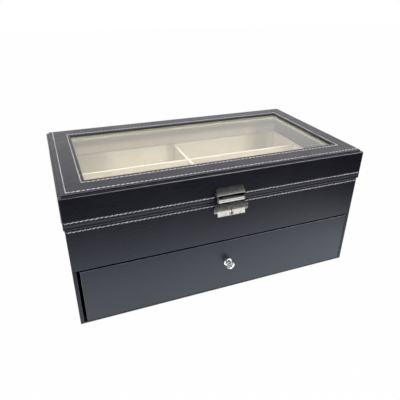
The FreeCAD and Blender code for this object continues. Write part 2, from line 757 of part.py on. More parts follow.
def clasp_bracket():
    """The bracket on the lid: a leaf, a roof that falls to the nose, and two cheeks for the pin."""
    sheet_size = size("clasp_sheet")
    width = size("clasp_width")
    leaf = size("clasp_pin_reach")
    foot = size("bracket_foot") - size("clasp_pin_height")
    top = foot + size("bracket_height")
    nose_y = leaf - size("roof_reach")
    nose_top = top - size("roof_fall")
    lip_bottom = nose_top - size("nose_lip")
    fall_per_reach = size("roof_fall") / size("roof_reach")
    under = size("roof_thickness")
    body = new_body("clasp_bracket")
    place(body, size("clasp_offset") - width / 2, clasp_pin_y, clasp_pin_z)
    sketch = sketch_in(body, "YZ_Plane")
    outline(sketch, [
        (leaf, foot), (leaf, top), (nose_y, nose_top), (nose_y, lip_bottom),
        (nose_y + sheet_size, lip_bottom),
        (nose_y + sheet_size, nose_top + sheet_size * fall_per_reach - under),
        (leaf - sheet_size, top - sheet_size * fall_per_reach - under), (leaf - sheet_size, foot),
    ])
    pad(body, sketch, width)
    boss = size("cheek_boss_radius")
    cheek = [(leaf, -boss), (leaf, top), (nose_y, nose_top), (nose_y, lip_bottom), (-boss, 0.0),
             (0.0, -boss)]
    for start in (0.0, width - sheet_size):
        plate = sketch_in(body, "YZ_Plane", start)
        outline(plate, cheek)
        pad(body, plate, sheet_size)
        round_end = sketch_in(body, "YZ_Plane", start)
        circle(round_end, 0.0, 0.0, boss)
        pad(body, round_end, sheet_size)
    bore = sketch_in(body, "YZ_Plane")
    circle(bore, 0.0, 0.0, size("clasp_pin_radius"))
    pocket(body, bore, width, True)
    half = size("bracket_rivet_spacing") / 2
    rise = size("bracket_rivet_rise")
    drill(body, "XZ_Plane", [(width / 2 - half, rise), (width / 2 + half, rise)], size("rivet_radius"),
          sheet_size, sheet_size - leaf)


def clasp_pin():
    pin = doc.addObject("Part::Cylinder", "clasp_pin")
    pin.Label = "clasp_pin"
    head = size("clasp_pin_head")
    bind(pin, "Radius", size("clasp_pin_radius"))
    bind(pin, "Height", size("clasp_width") + head * 2)
    pin.Placement.Rotation = FreeCAD.Rotation(FreeCAD.Vector(0, 1, 0), 90)
    place(pin, size("clasp_offset") - size("clasp_width") / 2 - head, clasp_pin_y, clasp_pin_z)


flap_front = size("flap_barrel_radius") - size("flap_set_in")
flap_back = flap_front - size("clasp_sheet")
flap_top = size("flap_barrel_radius")
plug_face = flap_front + size("flap_swell") + size("plug_stand")


def flap_plate(body, width):
    """The plate, flat above and swelling outwards below, with its lower edge cut square."""
    bottom = -size("flap_length")
    sketch = sketch_in(body, "YZ_Plane")
    outline(sketch, [
        (-flap_back, bottom), (-flap_back, -flap_top), (-flap_front, -flap_top),
        (-flap_front, -flap_top - size("flap_flat_length")),
        (-flap_front - size("flap_swell"), bottom + size("flap_edge")),
        (-flap_front - size("flap_swell"), bottom),
    ])
    return pad(body, sketch, width)


def clasp_flap():
    """The flap that hangs from the clasp pin over the keeper."""
    width = size("clasp_width")
    sheet_size = size("clasp_sheet")
    inset = sheet_size + size("cheek_play")
    bottom = -size("flap_length")
    body = new_body("clasp_flap")
    place(body, size("clasp_offset") - width / 2, clasp_pin_y, clasp_pin_z)
    flap_plate(body, width)
    barrel = sketch_in(body, "YZ_Plane", inset)
    circle(barrel, 0.0, 0.0, size("flap_barrel_radius"))
    pad(body, barrel, width - inset * 2)
    neck = sketch_in(body, "YZ_Plane", inset)
    outline(neck, rectangle((-flap_front, -flap_back), (-flap_top, 0.0)))
    pad(body, neck, width - inset * 2)
    skirt_top = -size("cheek_boss_radius") - size("skirt_play")
    skirt = rectangle((-flap_back, size("flap_skirt_depth") - flap_back), (bottom, skirt_top))
    for start in (0.0, width - sheet_size):
        side = sketch_in(body, "YZ_Plane", start)
        outline(side, skirt)
        pad(body, side, sheet_size)
    tab_x = (-size("tab_width"), width + size("tab_width"))
    tab_z = (-size("tab_drop") - size("tab_height"), -size("tab_drop"))
    tabs = sketch_in(body, "XZ_Plane", flap_back)
    outline(tabs, rectangle(tab_x, tab_z))
    tabbed = pad(body, tabs, sheet_size)
    corners = [f"Edge{number}" for number, edge in enumerate(tabbed.Shape.Edges, start=1)
               if is_tab_corner(edge, tabbed.Shape.BoundBox)]
    round_edges(body, tabbed, corners, size("tab_round"))
    bore = sketch_in(body, "YZ_Plane")
    circle(bore, 0.0, 0.0, size("clasp_pin_radius") + size("pin_clearance"))
    pocket(body, bore, width, True)
    plug_z = -size("plug_drop")
    drill(body, "XZ_Plane", [(width / 2, plug_z)], size("plug_radius") + size("pin_clearance"),
          plug_face, plug_face)
    drill(body, "XZ_Plane", [(width / 2, plug_z + size("dimple_rise"))], size("dimple_radius"),
          size("dimple_depth") + plug_face - flap_front, plug_face)


def is_tab_corner(edge, box):
    """True for the short edges along Y at the finger tabs' outer corners."""
    bounds = edge.BoundBox
    along_y = bounds.XLength < CLOSE and bounds.ZLength < CLOSE
    outermost = abs(bounds.XMin - box.XMin) < CLOSE or abs(bounds.XMax - box.XMax) < CLOSE
    return along_y and outermost


def key_plug():
    """The lock's plug with its keyhole in front and its cam behind, unlocked with the cam upright."""
    body = new_body("key_plug")
    place(body, size("clasp_offset"), clasp_pin_y, clasp_pin_z - size("plug_drop"))
    barrel = sketch_in(body, "XZ_Plane", plug_face)
    circle(barrel, 0.0, 0.0, size("plug_radius"))
    pad(body, barrel, size("plug_depth"), True)
    cam = sketch_in(body, "XZ_Plane", plug_face - size("plug_depth"))
    half = size("cam_width") / 2
    outline(cam, rectangle((-half, half), (-half, size("cam_length"))))
    pad(body, cam, size("cam_thickness"), True)
    depth = size("keyhole_depth")
    drill(body, "XZ_Plane", [(0.0, size("keyhole_radius"))], size("keyhole_radius"), depth, plug_face)
    slot = sketch_in(body, "XZ_Plane", plug_face)
    slot_half = size("keyhole_slot_width") / 2
    outline(slot, rectangle((-slot_half, slot_half), (-size("keyhole_slot"), size("keyhole_radius"))))
    pocket(body, slot, depth)


cam_front = plug_face - size("plug_depth")
lip_back = size("latch_play") + cam_front


def clasp_keeper():
    """The keeper on the case: a plate with two lugs whose lips hold the turned cam."""
    plate = size("keeper_sheet")
    half = size("keeper_width") / 2
    lug = size("lug_span") / 2
    depth = size("clasp_pin_reach") + size("lid_overhang")
    lip_front = lip_back + size("lug_lip_sheet")
    lip_reach = depth + lip_front
    low = -size("keeper_height")
    body = new_body("clasp_keeper")
    place(body, size("clasp_offset"), case_front, case_top - size("keeper_top"))
    base = sketch_in(body, "XZ_Plane")
    outline(base, rectangle((-half, half), (low, 0.0)))
    pad(body, base, plate)
    lug_span = (low, low + size("lug_height"))
    for x_span in ((-lug - size("lug_sheet"), -lug), (lug, lug + size("lug_sheet"))):
        sketch = sketch_in(body, "XZ_Plane")
        outline(sketch, rectangle(x_span, lug_span))
        pad(body, sketch, lip_reach)
    for x_span in ((-lug, size("lug_lip") - lug), (lug - size("lug_lip"), lug)):
        sketch = sketch_in(body, "XZ_Plane", depth + lip_back)
        outline(sketch, rectangle(x_span, lug_span))
        pad(body, sketch, size("lug_lip_sheet"))
    rivet_half = size("keeper_rivet_spacing") / 2
    drop = -size("keeper_rivet_drop")
    drill(body, "XZ_Plane", [(-rivet_half, drop), (rivet_half, drop)], size("rivet_radius"), plate, plate)


def rivets(label, spacing, height, surface, sheet_size):
    """Rivets from the front: the head on the metal, the shank through it into the panel."""
    head = size("rivet_head_height")
    bite = size("screw_bite")
    parts = []
    for x, z in clasp_rivet_places(spacing, height):
        parts.append((x, surface - sheet_size, z, size("rivet_head_radius"), head))
        parts.append((x, surface + bite, z, size("rivet_radius"), sheet_size + bite))
    fused_cylinders(label, parts)


def build_clasp():
    clasp_bracket()
    clasp_pin()
    clasp_flap()
    key_plug()
    clasp_keeper()
    rivets("clasp_bracket_rivets", size("bracket_rivet_spacing"), bracket_rivet_z, lid_front,
           size("clasp_sheet"))
    rivets("clasp_keeper_rivets", size("keeper_rivet_spacing"), keeper_rivet_z, case_front,
           size("keeper_sheet"))


# The drawer and its pull

def drawer_front():
    lift = size("drawer_front_lift")
    top = opening_top - size("drawer_top_gap")
    body = board("drawer_front", (drawer_left, drawer_right), (case_front, drawer_box_front), (lift, top),
                 "front-top front-bottom front-left front-right")
    centre = [(drawer_centre - drawer_left, size("pull_height") - lift)]
    thick = size("drawer_front_thickness")
    drill(body, "XZ_Plane", centre, size("pull_screw_radius"), thick, -thick, True)
    drill(body, "XZ_Plane", centre, size("pull_screw_head_radius"), size("pull_screw_head_height"),
          -thick, True)


def build_drawer():
    drawer_front()
    board_size = size("drawer_board")
    front = drawer_box_front
    back = drawer_box_back
    left = drawer_box_left
    right = drawer_box_right
    walls = (drawer_deck, drawer_side_top)
    board("drawer_bottom", (left, right), (front, back), (drawer_underside, drawer_deck))
    between = (front, back - board_size)
    board("drawer_left_side", (left, left + board_size), between, walls, "left-top right-top")
    board("drawer_right_side", (right - board_size, right), between, walls, "left-top right-top")
    board("drawer_back", (left, right), (back - board_size, back), walls, "front-top back-top")
    thick = size("drawer_lining")
    inner_left = left + board_size
    inner_right = right - board_size
    rear = back - board_size
    lining = (drawer_deck, drawer_side_top - size("drawer_lining_drop"))
    sheet_piece("drawer_lining_front", (inner_left, inner_right), (front, front + thick), lining)
    sheet_piece("drawer_lining_back", (inner_left, inner_right), (rear - thick, rear), lining)
    between = (front + thick, rear - thick)
    sheet_piece("drawer_lining_left", (inner_left, inner_left + thick), between, lining)
    sheet_piece("drawer_lining_right", (inner_right - thick, inner_right), between, lining)
    cell_left = inner_left + thick
    cell_right = inner_right - thick
    floor = drawer_deck + size("drawer_floor_lining")
    sheet_piece("drawer_floor_lining", (cell_left, cell_right), between, (drawer_deck, floor))
    end_depth = (span_length(between) - size("divider_thickness") * 2) / 3
    divider_set("drawer", cell_left, cell_right, *between, floor,
                drawer_side_top - size("drawer_divider_drop"), end_depth)


def pull_mount():
    """The metal part of the pull: collar, neck and cup, turned in one piece and tapped from behind."""
    body = new_body("pull_mount")
    place(body, drawer_centre, case_front, size("pull_height"))
    reach = 0.0
    for radius, length in ((size("collar_radius"), size("collar_thickness")),
                           (size("neck_radius"), size("neck_length")),
                           (size("cup_radius"), size("cup_length"))):
        sketch = sketch_in(body, "XZ_Plane", reach)
        circle(sketch, 0.0, 0.0, radius)
        pad(body, sketch, length)
        reach = reach + length
    drill(body, "XZ_Plane", [(0.0, 0.0)], size("pull_screw_radius"),
          size("collar_thickness") + size("pull_screw_in_neck"), 0.0, True)


def crystal_ring(number, radius, reach):
    """One outline of the faceted crystal, square to the pull's axis."""
    ring = doc.addObject("Part::RegularPolygon", f"crystal_ring_{number}")
    ring.Polygon = CRYSTAL_SIDES
    bind(ring, "Circumradius", radius)
    ring.Placement.Rotation = FreeCAD.Rotation(FreeCAD.Vector(1, 0, 0), 90)
    place(ring, drawer_centre, case_front - reach, size("pull_height"))
    return ring


def pull_crystal():
    start = size("collar_thickness") + size("neck_length") + size("cup_length")
    girdle = start + size("crystal_back_length")
    girdle_end = girdle + size("crystal_girdle_length")
    rings = [
        crystal_ring(1, size("crystal_back_radius"), start),
        crystal_ring(2, size("crystal_radius"), girdle),
        crystal_ring(3, size("crystal_radius"), girdle_end),
        crystal_ring(4, size("crystal_table_radius"), girdle_end + size("crystal_front_length")),
    ]
    crystal = doc.addObject("Part::Loft", "pull_crystal")
    crystal.Label = "pull_crystal"
    crystal.Sections = rings
    crystal.Solid = True
    crystal.Ruled = True


def pull_screw():
    """The screw that holds the pull, its head sunk in the drawer front under the lining."""
    length = size("drawer_front_thickness") + size("collar_thickness") + size("pull_screw_in_neck")
    start = (drawer_centre, drawer_box_front, size("pull_height"))
    fused_cylinders("pull_screw", [
        (*start, size("pull_screw_head_radius"), size("pull_screw_head_height")),
        (*start, size("pull_screw_radius"), length),
    ])


def build_pull():
    pull_mount()
    pull_crystal()
    pull_screw()


# Checking and writing

def sub_parts():
    """The labelled objects that no other object of the document is built from."""
    kinds = ("PartDesign::Body", "Part::Box", "Part::MultiFuse", "Part::Compound", "Part::Loft",
             "Part::Cylinder")
    return [item for item in doc.Objects if item.TypeId in kinds and not item.InList]


def check():
    failed = [item.Name for item in doc.Objects if {"Invalid", "Error"} & set(item.State)]
    if failed:
        raise RuntimeError(f"failed objects: {failed}")
    for item in sub_parts():
        shape = item.Shape
        if shape.isNull() or not shape.isValid() or not shape.Solids:
            raise RuntimeError(f"{item.Label}: no valid solid")


def write_parts():
    os.makedirs("parts", exist_ok=True)
    for item in sub_parts():
        item.Shape.exportStep(f"parts/{item.Label}.step")
        print(item.Label, round(item.Shape.Volume, 1))
    print(len(sub_parts()), "sub-parts")


build_case()
build_lid()
build_hinges()
build_clasp()
build_drawer()
build_pull()
doc.recompute()
check()
write_parts()
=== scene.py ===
"""The glasses display box dressed for a picture: leather, velvet, glass, nickel and silver stitching.

Metres, +Z up, the front of the case faces -Y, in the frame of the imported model.
"""
import json
import math
import random

import bmesh
import bpy
from mathutils import Matrix, Vector

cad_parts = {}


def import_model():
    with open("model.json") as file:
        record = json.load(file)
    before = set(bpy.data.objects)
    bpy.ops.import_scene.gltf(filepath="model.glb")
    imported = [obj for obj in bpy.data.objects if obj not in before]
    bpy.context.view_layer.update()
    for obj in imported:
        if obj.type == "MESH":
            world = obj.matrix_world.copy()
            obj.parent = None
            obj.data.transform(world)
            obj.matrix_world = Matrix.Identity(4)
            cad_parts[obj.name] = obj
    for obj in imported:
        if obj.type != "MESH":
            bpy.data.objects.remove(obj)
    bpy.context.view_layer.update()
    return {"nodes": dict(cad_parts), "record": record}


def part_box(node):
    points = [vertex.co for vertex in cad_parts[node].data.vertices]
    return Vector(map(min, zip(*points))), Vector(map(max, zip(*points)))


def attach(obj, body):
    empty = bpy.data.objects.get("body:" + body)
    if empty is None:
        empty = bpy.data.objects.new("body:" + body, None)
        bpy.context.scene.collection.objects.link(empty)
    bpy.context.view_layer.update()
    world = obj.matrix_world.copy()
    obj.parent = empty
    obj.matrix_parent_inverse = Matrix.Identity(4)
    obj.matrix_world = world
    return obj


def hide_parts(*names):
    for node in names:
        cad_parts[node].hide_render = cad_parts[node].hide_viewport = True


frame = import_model()
nodes = frame["nodes"]

MM = 0.001


# Places taken from the frame

case_low, case_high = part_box("upper_front_panel")
case_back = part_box("left_side_panel")[1].y
lid_low, lid_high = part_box("lid_front_wall")
lid_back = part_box("lid_back_wall")[1].y
panel_low, panel_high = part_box("window_panel")
bead_low, bead_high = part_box("glazing_bead_back")
window_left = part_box("glazing_bead_left")[1].x
window_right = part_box("glazing_bead_right")[0].x
window_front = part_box("glazing_bead_front")[1].y
window_back = bead_low.y
tray_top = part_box("tray_column_divider")[1].z
drawer_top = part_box("drawer_column_divider")[1].z
bracket_low, bracket_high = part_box("clasp_bracket")
keeper_low, keeper_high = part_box("clasp_keeper")
flap_low, flap_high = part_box("clasp_flap")
plug_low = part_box("key_plug")[0]
crystal_low, crystal_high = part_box("pull_crystal")


# Stitching sizes. The profile of a stitch is places along its half length, and shares of its radius. Dip and
# lift are shares of the radius too.

STITCH_PITCH = 4.5 * MM
STITCH_LENGTH = 4.3 * MM
STITCH_RADIUS = 0.52 * MM
STITCH_SLANT = math.radians(10)
STITCH_SIDES = 8
STITCH_PROFILE = (
    (-1.0, 0.36), (-0.84, 0.76), (-0.45, 0.98), (0.0, 1.0), (0.45, 0.98), (0.84, 0.76), (1.0, 0.36),
)
STITCH_DIP = 0.7
STITCH_LIFT = 0.35
SLANT_SPREAD = 0.04
WANDER = 0.10 * MM
LENGTH_SPREAD = (0.93, 1.04)
LID_SEAM_HEIGHT = 7.6 * MM
CASE_SEAM_DEPTH = 2.5 * MM
SEAM_END_MARGIN = 1.6 * MM
FRONT_SEAM_INSET = 6.2 * MM
LEFT_SEAM_INSET = 7.4 * MM
INNER_SEAM_LEFT = 3.7 * MM
INNER_SEAM_RIGHT = 2.8 * MM
INNER_SEAM_FRONT = 5.5 * MM
INNER_SEAM_BACK = 4.8 * MM
HINGE_CLEARANCE = 3 * MM
CLASP_CLEARANCE = 2 * MM

lid_seam_z = lid_low.z + LID_SEAM_HEIGHT
case_seam_z = case_high.z - CASE_SEAM_DEPTH


# Sizes of the seams and turned edges, of the worn edges and painted highlights on the leather and the
# velvet, and of the painted light in the window's recess

SEAM_DRAW = 1.3 * MM
SEAM_DEPTH = 0.5 * MM
EDGE_REACH = 0.85 * MM
HEM_HEIGHT = 4.1 * MM
HEM_REACH = 1.9 * MM
TURN_REACH = 1.6 * MM
REVEAL_WIDTH = 0.4 * MM
REVEAL_FALL = 0.3 * MM
RIM_REACH = 1.4 * MM


# Colours as red, green and blue. Some are ramps, of places with a colour each.

LEATHER_TONES = (
    (0.35, (0.0042, 0.0040, 0.0085)), (0.5, (0.0058, 0.0055, 0.0110)), (0.65, (0.0080, 0.0076, 0.0140)),
)
# Edge colours: worn edges with painted highlight, and a pale and a blue painted highlight along edges.
WEAR_AND_HIGHLIGHT = (0.62, 0.61, 0.66)
PALE_HIGHLIGHT = (0.74, 0.71, 0.80)
BLUE_HIGHLIGHT = (0.46, 0.48, 0.58)
# A painted highlight on the lid's hem, above its lower edge.
HEM_HIGHLIGHT = (0.105, 0.098, 0.120)
# Painted light on the leather in the window's recess.
REVEAL_LIGHT = (0.05, 0.046, 0.05)
CREAM = ((0.60, 0.525, 0.40), (0.70, 0.625, 0.485), (0.77, 0.70, 0.56))
# The beads' cream, darker and more olive than the cloth: painted shade.
SHADED_BEAD_CREAM = ((0.28, 0.265, 0.155), (0.33, 0.318, 0.19), (0.37, 0.358, 0.22))
# A painted highlight on the velvet along rim tops.
RIM_HIGHLIGHT = (0.78, 0.72, 0.60)
# The painted shadow of the window frame on the lid's lining.
FRAME_SHADOW = (0.29, 0.255, 0.135)
NAP_SHEEN = (1.0, 0.97, 0.90)
PAPER_TONES = ((0.35, (0.012, 0.012, 0.015)), (0.7, (0.024, 0.024, 0.028)))
FELT_TONES = ((0.3, (0.010, 0.010, 0.011)), (0.7, (0.035, 0.035, 0.038)))
FOIL_TONES = ((0.3, (0.80, 0.81, 0.80)), (0.7, (0.93, 0.94, 0.93)))
PANE_TINT = (0.98, 0.985, 0.975)
PANE_SHADE = (0.94, 0.95, 0.94)
THREAD_TONES = ((0.50, 0.49, 0.53), (0.66, 0.65, 0.69), (0.76, 0.75, 0.80))
NICKEL_TINT = (0.84, 0.82, 0.74)
# Dirt with painted dark reflection and painted shade on the clasp's nickel.
GRIME_AND_DARK_REFLECTION = (0.030, 0.028, 0.034)
# Painted shadow inside the clasp's holes.
HOLE_SHADOW = (0.012, 0.011, 0.013)
FLOOR_TONES = ((0.3, (0.78, 0.78, 0.78)), (0.7, (0.82, 0.82, 0.82)))
WHITE = (1.0, 1.0, 1.0)


# Node helpers

def new_material(name):
    """An empty material and its node tree."""
    material = bpy.data.materials.new(name)
    material.use_nodes = True
    material.node_tree.nodes.clear()
    return material, material.node_tree


def feed(tree, socket, value):
    """Gives a socket a colour, a number or what another node puts out."""
    if isinstance(value, tuple):
        socket.default_value = (*value, 1.0)
    elif isinstance(value, (int, float)):
        socket.default_value = value
    else:
        tree.links.new(value, socket)


def add_node(tree, kind, **inputs):
    """A node of a kind. Its inputs are named with an underscore for each space."""
    node = tree.nodes.new("ShaderNode" + kind)
    for name, value in inputs.items():
        feed(tree, node.inputs[name.replace("_", " ")], value)
    return node


def principled(tree, **inputs):
    """Closes a material with one principled surface."""
    shader = add_node(tree, "BsdfPrincipled", **inputs)
    add_node(tree, "OutputMaterial", Surface=shader.outputs[0])


def mix_shaders(tree, factor, first, second):
    node = tree.nodes.new("ShaderNodeMixShader")
    for socket, value in zip(node.inputs, (factor, first.outputs[0], second.outputs[0])):
        feed(tree, socket, value)
    return node


def seen_directly(tree, rays):
    """1 for what the camera sees, in the open or through glass."""
    return maths(tree, "MAXIMUM", rays["Is Camera Ray"], rays["Is Transmission Ray"])


def object_coordinates(tree, scale=(1.0, 1.0, 1.0)):
    source = tree.nodes.new("ShaderNodeTexCoord")
    mapping = add_node(tree, "Mapping", Vector=source.outputs["Object"])
    mapping.inputs["Scale"].default_value = scale
    return mapping.outputs["Vector"]


def axes_of(tree, coordinates):
    """The X, Y and Z of coordinates."""
    node = tree.nodes.new("ShaderNodeSeparateXYZ")
    tree.links.new(coordinates, node.inputs[0])
    return node.outputs


def noise(tree, coordinates, scale, detail=4.0, roughness=0.55, distortion=0.0):
    node = add_node(tree, "TexNoise", Vector=coordinates, Scale=scale, Detail=detail, Roughness=roughness,
                    Distortion=distortion)
    return node.outputs["Fac"]


def cells(tree, coordinates, scale, randomness):
    node = add_node(tree, "TexVoronoi", Vector=coordinates, Scale=scale, Randomness=randomness)
    return node.outputs["Distance"]


def ramp(tree, factor, stops):
    """A colour ramp. Each stop is a place and a colour."""
    node = add_node(tree, "ValToRGB", Fac=factor)
    elements = node.color_ramp.elements
    while len(elements) < len(stops):
        elements.new(0.5)
    for element, (place, colour) in zip(elements, stops):
        element.position = place
        element.color = (*colour, 1.0)
    return node.outputs["Color"]


def spread(tree, value, source, target):
    """The value carried from one span to another, and held at the second span's ends."""
    node = add_node(tree, "MapRange", Value=value, From_Min=source[0], From_Max=source[1],
                    To_Min=target[0], To_Max=target[1])
    return node.outputs["Result"]


def maths(tree, operation, first, second=None):
    node = tree.nodes.new("ShaderNodeMath")
    node.operation = operation
    feed(tree, node.inputs[0], first)
    if second is not None:
        feed(tree, node.inputs[1], second)
    return node.outputs[0]


def mixed(tree, share, first, second):
    """A share of the first value, and the rest of the second."""
    return maths(tree, "ADD", maths(tree, "MULTIPLY", first, share),
                 maths(tree, "MULTIPLY", second, 1.0 - share))


def blend_colours(tree, factor, first, second, blend_type="MIX"):
    node = tree.nodes.new("ShaderNodeMix")
    node.data_type = "RGBA"
    node.blend_type = blend_type
    feed(tree, node.inputs["Factor"], factor)
    feed(tree, node.inputs[6], first)
    feed(tree, node.inputs[7], second)
    return node.outputs[2]


def bump(tree, height, distance, strength, base=None):
    node = add_node(tree, "Bump", Height=height, Distance=distance, Strength=strength)
    if base is not None:
        tree.links.new(base, node.inputs["Normal"])
    return node.outputs["Normal"]


def away_from(tree, place, height):
    """How far above or below a height the place is."""
    return maths(tree, "ABSOLUTE", maths(tree, "SUBTRACT", axes_of(tree, place)["Z"], height))


def closeness(tree, place, height, reach):
    """1 at the height, falling to 0 at reach above and below it."""
    return spread(tree, away_from(tree, place, height), (0.0, reach), (1.0, 0.0))


def edge_closeness(tree, place, low, high, reach):
    """1 at the edges of the box from low to high, falling to 0 at reach from them."""
    depths = []
    for axis, value in enumerate(axes_of(tree, place)):
        depths.append(maths(tree, "MINIMUM", maths(tree, "SUBTRACT", value, low[axis]),
                            maths(tree, "SUBTRACT", high[axis], value)))
    x, y, z = depths
    middle = maths(tree, "MAXIMUM", maths(tree, "MINIMUM", x, y),
                   maths(tree, "MINIMUM", maths(tree, "MAXIMUM", x, y), z))
    return spread(tree, middle, (0.0, reach), (1.0, 0.0))


def inside_box(tree, place, low, high):
    """1 inside the box from low to high, and 0 outside it."""
    inside = 1.0
    for axis, value in enumerate(axes_of(tree, place)):
        above = maths(tree, "GREATER_THAN", value, low[axis])
        below = maths(tree, "LESS_THAN", value, high[axis])
        inside = maths(tree, "MULTIPLY", inside, maths(tree, "MULTIPLY", above, below))
    return inside


SHADE_WARMTH = 1.3


def shade_along(tree, place, colour, steps):
    """The colour, darkened along X as painted shade. Each step is a place and the share of the light left
    there.
    """
    first, last = steps[0][0], steps[-1][0]
    along = spread(tree, axes_of(tree, place)["X"], (first, last), (0.0, 1.0))
    tones = [(share, share, share ** SHADE_WARMTH) for _, share in steps]
    left = ramp(tree, along, [((at - first) / (last - first), tone) for (at, _), tone in zip(steps, tones)])
    return blend_colours(tree, 1.0, colour, left, "MULTIPLY")


# Materials. A lay is how much finer brush marks, nap, fibres or scratches are along each axis.

BRUSH_LAY = (0.30, 0.30, 2.2)
NAP_LAY = (1.0, 1.0, 2.2)
FIBRE_LAY = (1.0, 1.0, 5.0)
SCRATCH_LAY = (0.25, 3.0, 3.0)
# How much the leather's edges are worn and carry painted highlight, where nothing else is given.
USUAL_EDGE_SHARE = 0.15
# How strong the painted highlight on the lid's hem is.
HEM_HIGHLIGHT_SHARE = 0.8
TURN_ROUGHNESS = 0.7
# How strong the painted highlight on velvet rims is.
RIM_HIGHLIGHT_SHARE = 0.9
# How dark the painted shadow of the window frame gets.
FRAME_SHADOW_SHARE = 0.88
SMUDGE_LOSS = 0.30
POLISH_GAIN = 1.08
PALEST_THREAD = 0.95


def leather(name, low, high, edge_share, edge_colour, gloss=1.0, edge_fade=None, seam=None, reveal=None, hem=None,
            turn=None):
    """Black artificial leather on the box from low to high: satin, finely streaked, and paler along its
    edges, where it is worn and has painted highlight.

    Edge fade is a place along X, a place where the pale edges are full, and their share at the first place.
    Reveal is a box in which the leather has painted light, greyer in the window's recess. Seam, hem and turn
    are heights: of the stitches that draw it in, of a band of painted highlight, and of an edge where it is
    dull.
    """
    material, tree = new_material(name)
    place = object_coordinates(tree)
    streaks = noise(tree, object_coordinates(tree, BRUSH_LAY), scale=380.0, roughness=0.6, distortion=0.4)
    pebbles = cells(tree, place, scale=900.0, randomness=0.9)
    cloud = noise(tree, place, scale=22.0)
    colour = ramp(tree, mixed(tree, 0.6, streaks, cloud), LEATHER_TONES)
    # Pale edges: worn, and painted highlight.
    patches = spread(tree, noise(tree, place, scale=210.0), (0.35, 0.60), (0.6 * edge_share, edge_share))
    pale_edge = maths(tree, "MULTIPLY", edge_closeness(tree, place, low, high, EDGE_REACH), patches)
    # The painted edge highlight grows along X, from faint to full.
    if edge_fade is not None:
        faint_x, full_x, share = edge_fade
        growth = spread(tree, axes_of(tree, place)["X"], (faint_x, full_x), (share, 1.0))
        pale_edge = maths(tree, "MULTIPLY", pale_edge, growth)
    colour = blend_colours(tree, pale_edge, colour, edge_colour)
    # A band of painted highlight on the lid's hem.
    if hem is not None:
        hem_light = maths(tree, "MULTIPLY", closeness(tree, place, hem, HEM_REACH), HEM_HIGHLIGHT_SHARE)
        colour = blend_colours(tree, hem_light, colour, HEM_HIGHLIGHT)
    # Painted light in the window's recess.
    if reveal is not None:
        colour = blend_colours(tree, inside_box(tree, place, *reveal), colour, REVEAL_LIGHT)
    dullness = maths(tree, "ADD", streaks, maths(tree, "MULTIPLY", cloud, 0.5))
    rough = spread(tree, dullness, (0.5, 1.0), (0.25, 0.40))
    if turn is not None:
        turned = maths(tree, "MULTIPLY", closeness(tree, place, turn, TURN_REACH), TURN_ROUGHNESS)
        rough = maths(tree, "MAXIMUM", rough, turned)
    normal = bump(tree, streaks, 0.30 * MM, 0.4, bump(tree, pebbles, 0.05 * MM, 0.6))
    if seam is not None:
        groove = spread(tree, away_from(tree, place, seam), (0.0, SEAM_DRAW), (0.0, 1.0))
        normal = bump(tree, groove, SEAM_DEPTH, 1.0, normal)
    principled(tree, Base_Color=colour, Roughness=rough, Normal=normal, IOR=1.5,
               Specular_Tint=(0.84 * gloss, 0.88 * gloss, gloss))
    return material


def velvet(name, tones, lit_rim_height=None, shadow_span=None, shade_steps=None):
    """Velvet: short nap, brushed in soft patches, with a pale sheen.

    It has a painted highlight round one height, along a rim. From one height up to another it has the painted
    shadow of the window frame, darker upwards. Along X it has painted shade.
    """
    material, tree = new_material(name)
    place = object_coordinates(tree)
    patches = noise(tree, place, scale=26.0, detail=5.0, roughness=0.6, distortion=0.6)
    nap = noise(tree, object_coordinates(tree, NAP_LAY), scale=1500.0, detail=2.0)
    colour = ramp(tree, mixed(tree, 0.7, patches, nap), list(zip((0.30, 0.50, 0.70), tones)))
    # A painted highlight along the rim.
    if lit_rim_height is not None:
        pale_edge = maths(tree, "MULTIPLY", closeness(tree, place, lit_rim_height, RIM_REACH), RIM_HIGHLIGHT_SHARE)
        colour = blend_colours(tree, pale_edge, colour, RIM_HIGHLIGHT)
    # The painted shadow of the window frame, darker upwards.
    if shadow_span is not None:
        rise = spread(tree, axes_of(tree, place)["Z"], shadow_span, (0.0, FRAME_SHADOW_SHARE))
        colour = blend_colours(tree, rise, colour, FRAME_SHADOW)
    # Painted shade along X.
    if shade_steps is not None:
        colour = shade_along(tree, place, colour, shade_steps)
    principled(tree, Base_Color=colour, Roughness=0.92, Sheen_Weight=0.35, Sheen_Roughness=0.45,
               Sheen_Tint=NAP_SHEEN, Specular_IOR_Level=0.2,
               Normal=bump(tree, nap, 0.12 * MM, 0.7, bump(tree, patches, 0.9 * MM, 0.25)))
    return material


def board_paper(name):
    """Plain black covering paper on the boards that are seen only when the drawer is out."""
    material, tree = new_material(name)
    fibres = noise(tree, object_coordinates(tree, FIBRE_LAY), scale=320.0, detail=5.0, roughness=0.7)
    patches = noise(tree, object_coordinates(tree), scale=90.0)
    principled(tree, Base_Color=ramp(tree, fibres, PAPER_TONES), Specular_IOR_Level=0.4,
               Roughness=spread(tree, patches, (0.3, 0.7), (0.55, 0.72)),
               Normal=bump(tree, fibres, 0.08 * MM, 0.8))
    return material


def felt(name):
    """Dark felt with a loose nap."""
    material, tree = new_material(name)
    fluff = noise(tree, object_coordinates(tree), scale=900.0, detail=6.0, roughness=0.75, distortion=1.5)
    principled(tree, Base_Color=ramp(tree, fluff, FELT_TONES), Roughness=0.95, Sheen_Weight=0.3,
               Sheen_Roughness=0.6, Normal=bump(tree, fluff, 0.3 * MM, 0.9))
    return material


